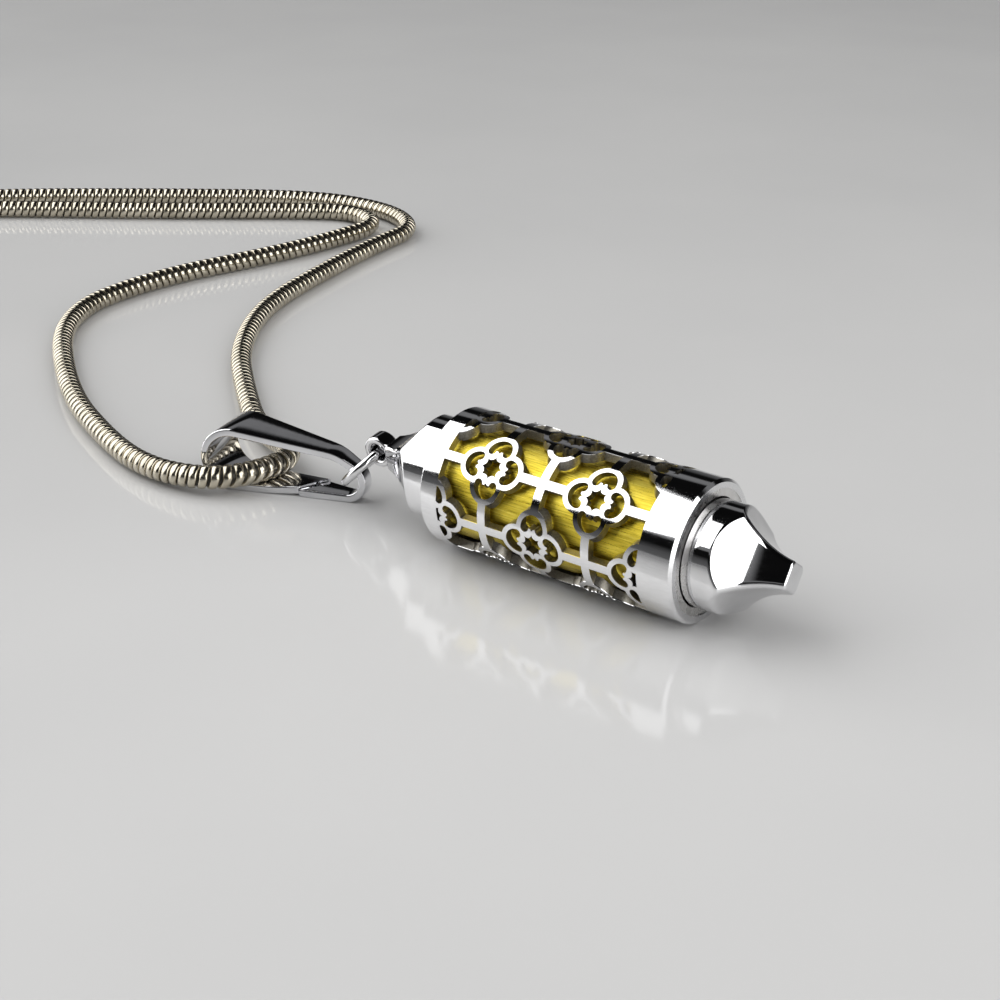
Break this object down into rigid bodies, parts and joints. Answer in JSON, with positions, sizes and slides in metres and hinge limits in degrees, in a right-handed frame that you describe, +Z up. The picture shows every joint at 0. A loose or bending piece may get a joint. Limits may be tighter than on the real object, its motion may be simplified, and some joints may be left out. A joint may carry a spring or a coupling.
{
  "type": "mezuzah case pendant",
  "caption": "Cylindrical openwork mezuzah case pendant with a gold liner and a screw cap, hung by a bail on a snake chain.",
  "frame": {"origin": "centre of the box around the case, jump ring and bail, on the surface they lie on", "axes": "+X along the case axis from the eye to the screw cap's tip, +Y to the side away from the viewer, +Z up"},
  "size_m": [0.1986, 0.0781, 0.0105],
  "materials": {
    "polished_steel": "mirror polished stainless steel",
    "gold_liner": "gold plated, fine lines along the tube",
    "inner_steel": "turned, satin",
    "parchment": "matte parchment",
    "seal_rubber": "matte",
    "chain_steel": "polished plates",
    "clasp_steel": "polished",
    "tie_plastic": "soft clear-white plastic"
  },
  "bodies": {
    "bail_and_chain": {"bail": "polished_steel", "chain_near_run": "chain_steel", "chain_far_run": "chain_steel", "chain_coil": "chain_steel", "chain_tail_clasp": "chain_steel", "chain_tail_ring": "chain_steel", "end_cap_clasp": "clasp_steel", "end_cap_ring": "clasp_steel", "coil_tie": "tie_plastic"},
    "ring": {"jump_ring": "polished_steel"},
    "case": {"filigree_sleeve": "polished_steel", "gold_liner": "gold_liner", "rear_bushing": "inner_steel", "threaded_bushing": "inner_steel", "parchment_scroll": "parchment", "top_cap": "polished_steel"},
    "cap_seal": {"cap_seal_ring": "seal_rubber"},
    "cap": {"screw_cap": "polished_steel"},
    "chain_end_ring": {"end_ring": "clasp_steel"},
    "clasp": {"clasp_ring": "clasp_steel", "clasp_body": "clasp_steel", "clasp_pin": "clasp_steel"},
    "trigger": {"clasp_lever": "clasp_steel"}
  },
  "joints": [
    {"name": "ring_swing", "type": "hinge", "parent": "bail_and_chain", "child": "ring", "pos_m": [-0.01367, 0.00005, 0.00175], "axis": [0.2504, -0.9681, 0], "range_deg": [0, 25]},
    {"name": "case_swing", "type": "hinge", "parent": "ring", "child": "case", "pos_m": [-0.01013, 0.00019, 0.00525], "axis": [0, -0.9816, -0.1908], "range_deg": [0, 60]},
    {"name": "cap_travel", "type": "slide", "parent": "case", "child": "cap_seal", "axis": [1, 0, 0], "range_m": [0, 0.0045]},
    {"name": "cap_turn", "type": "hinge", "parent": "cap_seal", "child": "cap", "pos_m": [0.01978, 0.00019, 0.00525], "axis": [1, 0, 0], "range_deg": [0, 2165]},
    {"name": "end_ring_swing", "type": "hinge", "parent": "bail_and_chain", "child": "chain_end_ring", "pos_m": [-0.15016, -0.01014, 0.0013], "axis": [-0.856, 0.517, 0], "range_deg": [0, 75]},
    {"name": "clasp_swing", "type": "hinge", "parent": "bail_and_chain", "child": "clasp", "pos_m": [-0.15851, 0.001, 0.0013], "axis": [-0.2566, 0.9665, 0], "range_deg": [0, 40]},
    {"name": "clasp_trigger", "type": "hinge", "parent": "clasp", "child": "trigger", "pos_m": [-0.16555, 0.00017, 0.0013], "axis": [0, 0, 1], "range_deg": [0, 20], "stiffness_Nm_per_rad": 0.0005}
  ],
  "couplings": [
    {"joint": "cap_turn", "follows": "cap_travel", "rad_per_m": 8377.6}
  ]
}
